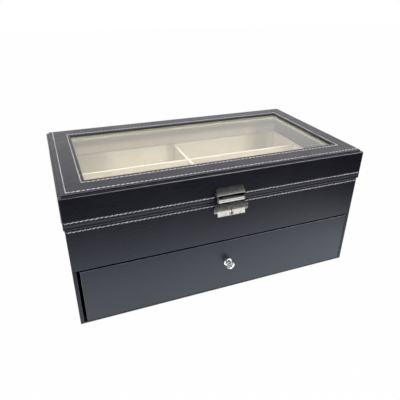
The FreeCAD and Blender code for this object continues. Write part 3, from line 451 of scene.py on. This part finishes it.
def nickel(name, tint=NICKEL_TINT, smudge=0.7, darkening=(), hole=None):
    """Nickel-plated sheet: polished, with fine scratches, cloudy spots, and darkening at the given heights:
    dirt, painted dark reflection and painted shade.

    Each step of the darkening is a height, how much it covers there, and how dull the plating is there.
    A hole, given by its lowest and highest corner, has its shadow painted black inside.
    """
    material, tree = new_material(name)
    place = object_coordinates(tree)
    clouds = noise(tree, place, scale=190.0, detail=6.0, roughness=0.65, distortion=0.8)
    scratches = noise(tree, object_coordinates(tree, SCRATCH_LAY), scale=900.0, detail=3.0, roughness=0.6)
    dull = tuple(channel * (1.0 - SMUDGE_LOSS * smudge) for channel in tint)
    bright = tuple(min(1.0, channel * POLISH_GAIN) for channel in tint)
    colour = ramp(tree, clouds, ((0.36, dull), (0.52, tint), (0.75, bright)))
    rough = maths(tree, "ADD", spread(tree, clouds, (0.3, 0.7), (0.20, 0.11)),
                  spread(tree, scratches, (0.3, 0.7), (-0.02, 0.03)))
    # Dirt with painted dark reflection and painted shade, by height.
    if darkening:
        bottom, top = darkening[0][0], darkening[-1][0]
        rise = spread(tree, axes_of(tree, place)["Z"], (bottom, top), (0.0, 1.0))
        places = [(height - bottom) / (top - bottom) for height, _, _ in darkening]
        cover = ramp(tree, rise, [(at, (covered,) * 3) for at, (_, covered, _) in zip(places, darkening)])
        matt = ramp(tree, rise, [(at, (dullness,) * 3) for at, (_, _, dullness) in zip(places, darkening)])
        specks = noise(tree, place, scale=420.0, detail=3.0, roughness=0.6)
        spots = spread(tree, specks, (0.35, 0.62), (0.72, 1.12))
        colour = blend_colours(tree, maths(tree, "MULTIPLY", cover, spots), colour, GRIME_AND_DARK_REFLECTION)
        rough = maths(tree, "MAXIMUM", rough, matt)
    # Painted shadow inside the hole.
    if hole is not None:
        colour = blend_colours(tree, inside_box(tree, place, *hole), colour, HOLE_SHADOW)
    principled(tree, Base_Color=colour, Roughness=rough, Metallic=1.0,
               Normal=bump(tree, scratches, 0.003 * MM, 0.5, bump(tree, clouds, 0.04 * MM, 0.5)))
    return material


def clear_glass(name):
    """Window glass that lets lamp light through to what is behind it. Faint smears break its gloss."""
    material, tree = new_material(name)
    smears = noise(tree, object_coordinates(tree), scale=9.0, roughness=0.6, distortion=1.2)
    pane = add_node(tree, "BsdfPrincipled", Base_Color=PANE_TINT, Transmission_Weight=1.0, IOR=1.46,
                    Roughness=spread(tree, smears, (0.45, 0.75), (0.0, 0.02)))
    passing = add_node(tree, "BsdfTransparent", Color=PANE_SHADE)
    rays = add_node(tree, "LightPath").outputs
    glass = mix_shaders(tree, rays["Is Shadow Ray"], pane, passing)
    add_node(tree, "OutputMaterial", Surface=glass.outputs[0])
    return material


def painted_crystal(name, colour, clear):
    """Cut crystal with faint bubbles and smears, clear only in part. The rest is a body of one colour that
    paints the light and dark its facets reflect: painted reflection.
    """
    material, tree = new_material(name)
    smears = noise(tree, object_coordinates(tree), scale=420.0, roughness=0.6, distortion=1.2)
    principled(tree, Base_Color=colour, Transmission_Weight=clear, IOR=1.62,
               Roughness=spread(tree, smears, (0.35, 0.75), (0.02, 0.12)),
               Normal=bump(tree, smears, 0.04 * MM, 0.6))
    return material


def foil(name):
    """Silvering on the back of the crystal, slightly spotted."""
    material, tree = new_material(name)
    spots = noise(tree, object_coordinates(tree), scale=700.0, detail=3.0)
    principled(tree, Base_Color=ramp(tree, spots, FOIL_TONES), Metallic=1.0,
               Roughness=spread(tree, spots, (0.3, 0.7), (0.12, 0.25)))
    return material


def thread(name, light_share=1.0):
    """Silver-white polyester thread of two plies, slightly dirty in places. Light share is painted light."""
    material, tree = new_material(name)
    place = object_coordinates(tree)
    soil = noise(tree, place, scale=120.0, detail=3.0)
    plies = noise(tree, place, scale=2600.0, detail=2.0)
    tones = [tuple(min(PALEST_THREAD, light_share * channel) for channel in tone) for tone in THREAD_TONES]
    colour = ramp(tree, mixed(tree, 0.6, soil, plies), list(zip((0.34, 0.5, 0.66), tones)))
    principled(tree, Base_Color=colour, Roughness=0.55, Sheen_Weight=0.3, Specular_IOR_Level=0.5,
               Normal=bump(tree, plies, 0.10 * MM, 0.8))
    return material


# Velvets: one cream cloth. Each lining has its own tone, partly for how its nap lies and partly as painted
# light and shade for where it stands.

def toned(red, green, blue):
    """The cream of a lining with painted shade or painted light, by shares of its red, green and blue."""
    return [(r * red, g * green, b * blue) for r, g, b in CREAM]


# The painted shadow of the window frame on the lid's lining, from one height to another.
LID_SHADOW_SPAN = (lid_low.z + 8 * MM, lid_low.z + 14 * MM)
# Painted shade along X on the back linings: at their right ends, and on the tray's also beside the divider
# and at its left end.
LID_SHADE_STEPS = ((-0.100, 1.0), (0.118, 1.0), (0.133, 0.62), (0.165, 0.70))
TRAY_SHADE_STEPS = (
    (-0.120, 0.72), (-0.104, 0.80), (-0.088, 1.0), (-0.016, 1.04), (-0.010, 0.74), (-0.003, 0.70),
    (0.002, 1.0), (0.096, 1.04), (0.106, 1.0), (0.114, 0.86), (0.122, 0.68), (0.131, 0.48), (0.145, 0.50),
    (0.155, 0.80),
)
LID_SHADED_VELVET = velvet("lid_shaded_velvet", toned(0.88, 0.88, 0.80), shadow_span=LID_SHADOW_SPAN, shade_steps=LID_SHADE_STEPS)
LID_LEFT_SHADED_VELVET = velvet("lid_left_shaded_velvet", toned(0.52, 0.55, 0.50))
LID_RIGHT_SHADED_VELVET = velvet("lid_right_shaded_velvet", toned(0.108, 0.102, 0.118))
TRAY_VELVET = velvet("tray_velvet", CREAM, tray_top)
TRAY_LEFT_SHADED_VELVET = velvet("tray_left_shaded_velvet", toned(0.74, 0.74, 0.76), tray_top)
TRAY_RIGHT_LIT_VELVET = velvet("tray_right_lit_velvet", toned(1.22, 1.22, 1.22), tray_top)
TRAY_BACK_SHADED_VELVET = velvet("tray_back_shaded_velvet", CREAM, tray_top, shade_steps=TRAY_SHADE_STEPS)
DRAWER_VELVET = velvet("drawer_velvet", CREAM, drawer_top)
# The beads: painted shade, and a painted highlight along their top.
BEAD_CLOTH = velvet("cream_bead", SHADED_BEAD_CREAM, bead_high.z)


# Clasp. Dirt, painted dark reflection and painted shade darken the bracket above and below its bright lip,
# and the middle of the flap.

PLUG_RADIUS = 2.4 * MM
HOLE_HALF = 0.75 * MM
DIMPLE_RISE = 3.7 * MM
FOLD_FALL = 5.8 * MM
LIP_DEPTH = 1.2 * MM

clasp_x = (flap_low.x + flap_high.x) / 2
keyhole_z = plug_low.z + PLUG_RADIUS
fold_z = bracket_high.z - FOLD_FALL
lip_z = fold_z - LIP_DEPTH

BRACKET_DARKENING = (
    (bracket_low.z, 0.90, 0.2),
    (lip_z - 0.1 * MM, 0.90, 0.2),
    (lip_z, 0.15, 0.6),
    (fold_z - 0.5 * MM, 0.20, 0.6),
    (fold_z - 0.2 * MM, 0.55, 0.4),
    (fold_z + 3.0 * MM, 0.35, 0.1),
    (fold_z + 4.5 * MM, 0.60, 0.1),
    (bracket_high.z, 0.85, 0.1),
)
FLAP_DARKENING = (
    (flap_low.z, 0.00, 0.1),
    (flap_low.z + 4.8 * MM, 0.00, 0.1),
    (flap_low.z + 5.8 * MM, 0.60, 0.1),
    (flap_low.z + 11.0 * MM, 0.80, 0.1),
    (flap_low.z + 14.4 * MM, 1.00, 0.1),
    (flap_low.z + 15.2 * MM, 0.70, 0.3),
    (flap_low.z + 16.2 * MM, 0.00, 0.38),
    (flap_high.z, 0.00, 0.38),
)


def hole_at(height):
    """The room of a hole in the middle of the clasp, at a height, where its shadow is painted."""
    return (Vector((clasp_x - HOLE_HALF, flap_low.y - MM, height - HOLE_HALF)),
            Vector((clasp_x + HOLE_HALF, flap_high.y, height + HOLE_HALF)))


NICKEL = nickel("nickel")
BRACKET_NICKEL = nickel("bracket_nickel", (0.82, 0.81, 0.78), 0.3, BRACKET_DARKENING)
FLAP_NICKEL = nickel("flap_nickel", (0.78, 0.77, 0.70), 0.3, FLAP_DARKENING, hole_at(keyhole_z + DIMPLE_RISE))
PLUG_NICKEL = nickel("plug_nickel", (0.72, 0.705, 0.64), 0.4, hole=hole_at(keyhole_z))
MOUNT_NICKEL = nickel("mount_nickel", (0.86, 0.88, 0.86), 0.2)

BOARD = board_paper("covered_board")
FELT = felt("dark_felt")
PANE = clear_glass("window_glass")
THREAD = thread("silver_thread")
# The stitches on top are painted paler, as painted light where they face the lamps.
LIT_TOP_THREAD = thread("silver_thread_top_lit", 1.4)
# The crystal's white body and its dark facets and rims are painted reflection.
CUT_GLASS = painted_crystal("crystal", (0.95, 0.95, 0.94), 0.15)
CUT_DARK = painted_crystal("crystal_dark_reflection", (0.13, 0.16, 0.12), 0.2)
FOIL = foil("crystal_foil")


# Which finish goes where

FINISH_OF_SLOT = {
    "covered_board": BOARD, "cream_bead": BEAD_CLOTH, "nickel": NICKEL, "dark_felt": FELT,
    "window_glass": PANE, "crystal": CUT_GLASS,
}
FINISH_OF_NODE = {
    "clasp_bracket": BRACKET_NICKEL, "clasp_flap": FLAP_NICKEL, "key_plug": PLUG_NICKEL,
    "pull_mount": MOUNT_NICKEL, "lid_lining_front": LID_SHADED_VELVET, "lid_lining_back": LID_SHADED_VELVET,
    "lid_lining_left": LID_LEFT_SHADED_VELVET, "lid_lining_right": LID_RIGHT_SHADED_VELVET,
    "tray_lining_left": TRAY_LEFT_SHADED_VELVET, "tray_lining_right": TRAY_RIGHT_LIT_VELVET,
    "tray_lining_back": TRAY_BACK_SHADED_VELVET,
}
SIDE_NODES = ("left_side_panel", "right_side_panel")
CASE_NODES = (*SIDE_NODES, "back_panel", "upper_front_panel")
LID_NODES = ("lid_front_wall", "lid_back_wall", "lid_left_wall", "lid_right_wall")
# Painted highlights along the edges of the lid's front, the drawer's front and the window; worn edges with
# painted highlight on the rest.
EDGE_MARKS_OF_NODE = {
    "lid_front_wall": (1.0, PALE_HIGHLIGHT), "drawer_front": (1.0, BLUE_HIGHLIGHT), "window_panel": (0.6, WEAR_AND_HIGHLIGHT),
    "upper_front_panel": (0.0, WEAR_AND_HIGHLIGHT),
}
# Where along X each painted edge highlight starts faint, and where it is full.
EDGE_FADE_OF_NODE = {
    "lid_front_wall": (lid_low.x, lid_low.x * 0.2, 0.3), "drawer_front": (-60 * MM, 80 * MM, 0.45),
    "window_panel": (0.0, 90 * MM, 0.5),
}
SIDE_GLOSS = 0.58
# The window's recess, where the leather has painted light.
WINDOW_REVEAL = (
    Vector((window_left - REVEAL_WIDTH, window_front - REVEAL_WIDTH, panel_low.z - MM)),
    Vector((window_right + REVEAL_WIDTH, window_back + REVEAL_WIDTH, panel_high.z - REVEAL_FALL)),
)


def leather_of(name):
    """Each leather piece is its own cut of leather, with its own wear, seam and turned edges."""
    edge_share, edge_colour = EDGE_MARKS_OF_NODE.get(name, (USUAL_EDGE_SHARE, WEAR_AND_HIGHLIGHT))
    settings = {"edge_fade": EDGE_FADE_OF_NODE.get(name)}
    if name in LID_NODES:
        settings.update(seam=lid_seam_z, hem=lid_low.z + HEM_HEIGHT)
    if name in CASE_NODES:
        settings.update(seam=case_seam_z, turn=case_high.z)
    if name in SIDE_NODES:
        settings["gloss"] = SIDE_GLOSS
    if name == "window_panel":
        settings["reveal"] = WINDOW_REVEAL
    return leather("leather_" + name, *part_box(name), edge_share, edge_colour, **settings)


def finish_of(name, slot):
    if slot == "black_leather":
        return leather_of(name)
    if name in FINISH_OF_NODE:
        return FINISH_OF_NODE[name]
    if slot == "cream_velvet":
        return DRAWER_VELVET if name.startswith("drawer") else TRAY_VELVET
    return FINISH_OF_SLOT[slot]


def dress_frame():
    """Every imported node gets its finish."""
    for entry in frame["record"]["subparts"]:
        node = nodes[entry["node"]]
        node.data.materials.clear()
        node.data.materials.append(finish_of(entry["node"], entry["material_slot"]))


# Pieces made here

FRONT, BACK = Vector((0, -1, 0)), Vector((0, 1, 0))
LEFT, RIGHT = Vector((-1, 0, 0)), Vector((1, 0, 0))
UP = Vector((0, 0, 1))


def add_object(name, data):
    piece = bpy.data.objects.new(name, data)
    bpy.context.scene.collection.objects.link(piece)
    return piece


def add_mesh(name, mesh):
    data = bpy.data.meshes.new(name)
    mesh.to_mesh(data)
    mesh.free()
    return add_object(name, data)


def finish_piece(mesh, name, material, body):
    """A smooth piece of one material that rides on a body."""
    bmesh.ops.recalc_face_normals(mesh, faces=mesh.faces)
    piece = add_mesh(name, mesh)
    for polygon in piece.data.polygons:
        polygon.use_smooth = True
    piece.data.materials.append(material)
    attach(piece, body)
    return piece


def add_stitch(mesh, centre, along, out, length):
    """One stitch: a short, round-ended twist of thread that dips into the leather at both ends."""
    across = out.cross(along).normalized()
    rings = []
    for place, share in STITCH_PROFILE:
        dip = -STITCH_RADIUS * STITCH_DIP * place * place
        middle = centre + along * (place * length / 2) + out * dip
        ring = []
        for n in range(STITCH_SIDES):
            angle = 2 * math.pi * n / STITCH_SIDES
            point = middle + (across * math.cos(angle) + out * math.sin(angle)) * STITCH_RADIUS * share
            ring.append(mesh.verts.new(point))
        rings.append(ring)
    for first, second in zip(rings, rings[1:]):
        for n in range(STITCH_SIDES):
            after = (n + 1) % STITCH_SIDES
            mesh.faces.new((first[n], first[after], second[after], second[n]))
    mesh.faces.new(rings[0][::-1])
    mesh.faces.new(rings[-1])


def add_seam(mesh, start, end, out, skips=()):
    """A row of stitches from start to end on a face whose outward direction is out."""
    run = end - start
    count = max(1, round(run.length / STITCH_PITCH))
    along = run.normalized()
    across = out.cross(along).normalized()
    for n in range(count):
        centre = start + run * ((n + 0.5) / count)
        if any(low <= centre.x <= high for low, high in skips):
            continue
        slant = STITCH_SLANT + random.uniform(-SLANT_SPREAD, SLANT_SPREAD)
        direction = (along * math.cos(slant) + across * math.sin(slant)).normalized()
        wander = across * random.uniform(-WANDER, WANDER)
        lift = out * STITCH_RADIUS * STITCH_LIFT
        length = STITCH_LENGTH * random.uniform(*LENGTH_SPREAD)
        add_stitch(mesh, centre + wander + lift, direction, out, length)


def band_seams(mesh, low, high, z, front_skips, back_skips):
    """One seam at height z round all four sides of a box from low to high."""
    gap = SEAM_END_MARGIN
    add_seam(mesh, Vector((low.x + gap, low.y, z)), Vector((high.x - gap, low.y, z)), FRONT, front_skips)
    add_seam(mesh, Vector((low.x + gap, high.y, z)), Vector((high.x - gap, high.y, z)), BACK, back_skips)
    add_seam(mesh, Vector((low.x, low.y + gap, z)), Vector((low.x, high.y - gap, z)), LEFT)
    add_seam(mesh, Vector((high.x, low.y + gap, z)), Vector((high.x, high.y - gap, z)), RIGHT)


def hinge_skips():
    """The spans along X that the hinges cover."""
    spans = []
    for side in ("left", "right"):
        low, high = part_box(f"hinge_{side}_case_leaf")
        spans.append((low.x - HINGE_CLEARANCE, high.x + HINGE_CLEARANCE))
    return spans


def lid_stitching():
    """The seam round the lid's walls, left out at the clasp and the hinges."""
    mesh = bmesh.new()
    clasp = [(bracket_low.x - CLASP_CLEARANCE, bracket_high.x + CLASP_CLEARANCE)]
    low, high = Vector((lid_low.x, lid_low.y, 0)), Vector((lid_high.x, lid_back, 0))
    band_seams(mesh, low, high, lid_seam_z, clasp, hinge_skips())
    finish_piece(mesh, "lid_stitching", THREAD, "lid")


def case_stitching():
    """The seam round the case, under its rim, left out at the clasp and the hinges."""
    mesh = bmesh.new()
    clasp = [(keeper_low.x - CLASP_CLEARANCE, keeper_high.x + CLASP_CLEARANCE)]
    low, high = Vector((case_low.x, case_low.y, 0)), Vector((case_high.x, case_back, 0))
    band_seams(mesh, low, high, case_seam_z, clasp, hinge_skips())
    finish_piece(mesh, "case_stitching", THREAD, "case")


def window_stitching():
    """The seam round the window."""
    mesh = bmesh.new()
    left = window_left - INNER_SEAM_LEFT
    front = window_front - INNER_SEAM_FRONT
    right = window_right + INNER_SEAM_RIGHT
    back = window_back + INNER_SEAM_BACK
    outline = ((left, front), (right, front), (right, back), (left, back))
    corners = [Vector((x, y, panel_high.z)) for x, y in outline]
    for start, end in zip(corners, corners[1:] + corners[:1]):
        add_seam(mesh, start, end, UP)
    finish_piece(mesh, "window_stitching", LIT_TOP_THREAD, "lid")


def panel_stitching():
    """The outer seams on top: one along the front edge and one along the left edge."""
    mesh = bmesh.new()
    corner = Vector((lid_low.x + LEFT_SEAM_INSET, lid_low.y + FRONT_SEAM_INSET, panel_high.z))
    add_seam(mesh, corner, Vector((panel_high.x - SEAM_END_MARGIN, corner.y, corner.z)), UP)
    add_seam(mesh, corner, Vector((corner.x, panel_high.y - SEAM_END_MARGIN, corner.z)), UP)
    finish_piece(mesh, "panel_stitching", LIT_TOP_THREAD, "lid")


# The crystal. Places are shares of its depth from the back, and widths are shares of its radius.

CRYSTAL_FACETS = 8
FOOT_SHARE = 0.66
GIRDLE_SHARE = 0.97
STAR_SHARE = 0.62
TABLE_SHARE = 0.26
GIRDLE_PLACE = 0.62
GIRDLE_DEPTH = 0.08
STAR_PLACE = 0.93
FACET_LINE = 0.24 * MM
GLANCE = Vector((0.7, 0.0, -0.7))
GLANCE_LIMIT = 0.1
GLASS_FACET, FOIL_FACET, DARK_FACET = 0, 1, 2


def cut_crystal():
    """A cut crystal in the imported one's room: pavilion, girdle, and a crown of kites round a flat table."""
    mesh = bmesh.new()
    centre = (crystal_low + crystal_high) / 2
    radius = (crystal_high.x - crystal_low.x) / 2
    depth = crystal_high.y - crystal_low.y
    back = crystal_high.y

    def ring(share, place, turned):
        points = []
        for n in range(CRYSTAL_FACETS):
            angle = 2 * math.pi * (n + turned) / CRYSTAL_FACETS
            points.append(mesh.verts.new((centre.x + radius * share * math.cos(angle), back - depth * place,
                                          centre.z + radius * share * math.sin(angle))))
        return points

    foot = ring(FOOT_SHARE, 0.0, 0.5)
    girdle = ring(GIRDLE_SHARE, GIRDLE_PLACE, 0.0)
    girdle_front = ring(GIRDLE_SHARE, GIRDLE_PLACE + GIRDLE_DEPTH, 0.0)
    crown = ring(STAR_SHARE, STAR_PLACE, 0.5)
    table = ring(TABLE_SHARE, 1.0, 0.0)
    mesh.faces.new(foot)
    mesh.faces.new(table)
    for n in range(CRYSTAL_FACETS):
        after = (n + 1) % CRYSTAL_FACETS
        mesh.faces.new((foot[n], girdle[n], girdle[after]))
        mesh.faces.new((foot[n], girdle[after], foot[after]))
        mesh.faces.new((girdle[n], girdle[after], girdle_front[after], girdle_front[n]))
        mesh.faces.new((girdle_front[n], girdle_front[after], crown[n]))
        mesh.faces.new((girdle_front[after], crown[after], crown[n]))
        mesh.faces.new((crown[n], table[after], table[n]))
        mesh.faces.new((crown[n], crown[after], table[after]))
    for face in mesh.faces:
        behind_girdle = face.calc_center_median().y > back - depth * GIRDLE_PLACE
        face.material_index = FOIL_FACET if behind_girdle else GLASS_FACET
    crown_faces = [face for face in mesh.faces if face.material_index == GLASS_FACET]
    # Thin rims round the crown facets are painted dark, as painted reflection along the facet edges.
    lines = bmesh.ops.inset_individual(mesh, faces=crown_faces, thickness=FACET_LINE)
    for face in lines["faces"]:
        face.material_index = DARK_FACET
    # Facets that face the light are foil and glint. Of the others, every third is painted dark, as a painted
    # reflection.
    for number, face in enumerate(crown_faces):
        glance = (face.calc_center_median() - centre).dot(GLANCE) / radius
        if glance > GLANCE_LIMIT:
            face.material_index = FOIL_FACET
        elif number % 3 == 0:
            face.material_index = DARK_FACET
    piece = finish_piece(mesh, "cut_crystal", CUT_GLASS, "drawer")
    piece.data.materials.append(FOIL)
    piece.data.materials.append(CUT_DARK)
    for polygon in piece.data.polygons:
        polygon.use_smooth = False
    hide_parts("pull_crystal")


# Stage, light and camera

CAMERA_PLACE = Vector((-0.16683, -0.42913, 0.31732))
CAMERA_YAW = 0.37883
CAMERA_PITCH = 0.49112
CAMERA_ROLL = 0.01021
CAMERA_LENS = 36.183
CAMERA_NEAR = 0.01
SENSOR = 36.0
FLOOR_HALF = 3.0
POOL_START = 0.02
POOL_REACH = 0.25
POOL_LIGHT = 2.1
POOL_EDGE = 0.06
FLOOR_WHITENESS = 0.985
AMBIENT = 0.20
OVERHEAD = 0.05
HORIZON = 1.05
HORIZON_SINE = 0.56
OVERHEAD_SINE = 0.80
LIT_POINT = Vector((0.0, 0.0, 0.1))
LEFT_POWER = 5.0
FRONT_POWER = 6.5
TOP_POWER = 3.2


def camera():
    data = bpy.data.cameras.new("camera")
    data.sensor_width = SENSOR
    data.lens = CAMERA_LENS
    data.clip_start = CAMERA_NEAR
    forward = Vector((math.sin(CAMERA_YAW) * math.cos(CAMERA_PITCH),
                      math.cos(CAMERA_YAW) * math.cos(CAMERA_PITCH), -math.sin(CAMERA_PITCH)))
    level = Vector((math.cos(CAMERA_YAW), -math.sin(CAMERA_YAW), 0.0))
    upright = level.cross(forward)
    right = level * math.cos(CAMERA_ROLL) + upright * math.sin(CAMERA_ROLL)
    up = upright * math.cos(CAMERA_ROLL) - level * math.sin(CAMERA_ROLL)
    rotation = Matrix((right, up, -forward)).transposed()
    piece = add_object("camera", data)
    piece.matrix_world = Matrix.Translation(CAMERA_PLACE) @ rotation.to_4x4()
    bpy.context.scene.camera = piece


def floor_paper(name):
    """Pale paper that looks white. Gloss shows a painted pool of light on it, a glow that fades away from the
    box.
    """
    material, tree = new_material(name)
    place = object_coordinates(tree)
    tone = ramp(tree, noise(tree, place, scale=8.0), FLOOR_TONES)
    paper = add_node(tree, "BsdfPrincipled", Base_Color=tone, Roughness=0.9, Specular_IOR_Level=0.1)
    squares = []
    for axis, half in (("X", lid_high.x), ("Y", lid_back)):
        outside = maths(tree, "SUBTRACT", maths(tree, "ABSOLUTE", axes_of(tree, place)[axis]), half)
        beyond = maths(tree, "MAXIMUM", outside, 0.0)
        squares.append(maths(tree, "MULTIPLY", beyond, beyond))
    away = maths(tree, "SQRT", maths(tree, "ADD", *squares))
    fade = add_node(tree, "MapRange", Value=away, From_Min=POOL_START, From_Max=POOL_REACH,
                    To_Min=POOL_LIGHT, To_Max=POOL_EDGE)
    fade.interpolation_type = "SMOOTHSTEP"
    pool = add_node(tree, "Emission", Color=(0.93, 0.96, 1.0), Strength=fade.outputs["Result"])
    white = add_node(tree, "Emission", Color=WHITE)
    rays = add_node(tree, "LightPath").outputs
    mirrored = mix_shaders(tree, rays["Is Glossy Ray"], paper, pool)
    direct = maths(tree, "MULTIPLY", seen_directly(tree, rays), FLOOR_WHITENESS)
    seen = mix_shaders(tree, direct, mirrored, white)
    add_node(tree, "OutputMaterial", Surface=seen.outputs[0])
    return material


def floor():
    mesh = bmesh.new()
    mesh.faces.new([mesh.verts.new((x * FLOOR_HALF, y * FLOOR_HALF, 0.0))
                    for x, y in ((-1, -1), (1, -1), (1, 1), (-1, 1))])
    piece = add_mesh("floor", mesh)
    piece.data.materials.append(floor_paper("floor_paper"))


def lamp(name, place, size, power):
    """A softbox that shines at the box."""
    data = bpy.data.lights.new(name, "AREA")
    data.shape = "RECTANGLE"
    data.size, data.size_y = size
    data.energy = power
    piece = add_object(name, data)
    piece.location = place
    piece.rotation_euler = (LIT_POINT - Vector(place)).to_track_quat("-Z", "Y").to_euler()
    return piece


def lights():
    """Two softboxes and a top light. The left one gives only gloss, the others only even light."""
    lamp("left_softbox", (-0.44, -0.72, 1.0), (0.4, 0.4), LEFT_POWER).visible_diffuse = False
    lamp("front_softbox", (0.06, -0.62, 1.15), (0.5, 0.5), FRONT_POWER).visible_glossy = False
    lamp("top_softbox", (0.0, 0.1, 1.3), (1.0, 0.8), TOP_POWER).visible_glossy = False


def world():
    """A soft grey studio, white behind the box. What gloss shows of it is darker overhead."""
    studio = bpy.data.worlds.new("studio")
    studio.use_nodes = True
    tree = studio.node_tree
    tree.nodes.clear()
    direction = add_node(tree, "TexCoord").outputs["Generated"]
    dome = spread(tree, axes_of(tree, direction)["Z"], (HORIZON_SINE, OVERHEAD_SINE), (HORIZON, OVERHEAD))
    soft = add_node(tree, "Background", Color=(0.97, 0.98, 1.0), Strength=AMBIENT)
    mirrored = add_node(tree, "Background", Color=(1.0, 0.98, 1.0), Strength=dome)
    white = add_node(tree, "Background", Color=WHITE, Strength=1.0)
    rays = add_node(tree, "LightPath").outputs
    glossy = mix_shaders(tree, rays["Is Glossy Ray"], soft, mirrored)
    seen = mix_shaders(tree, seen_directly(tree, rays), glossy, white)
    add_node(tree, "OutputWorld", Surface=seen.outputs[0])
    bpy.context.scene.world = studio


random.seed(7)
dress_frame()
lid_stitching()
case_stitching()
window_stitching()
panel_stitching()
cut_crystal()
floor()
lights()
world()
camera()
bpy.context.scene.view_settings.view_transform = "Standard"
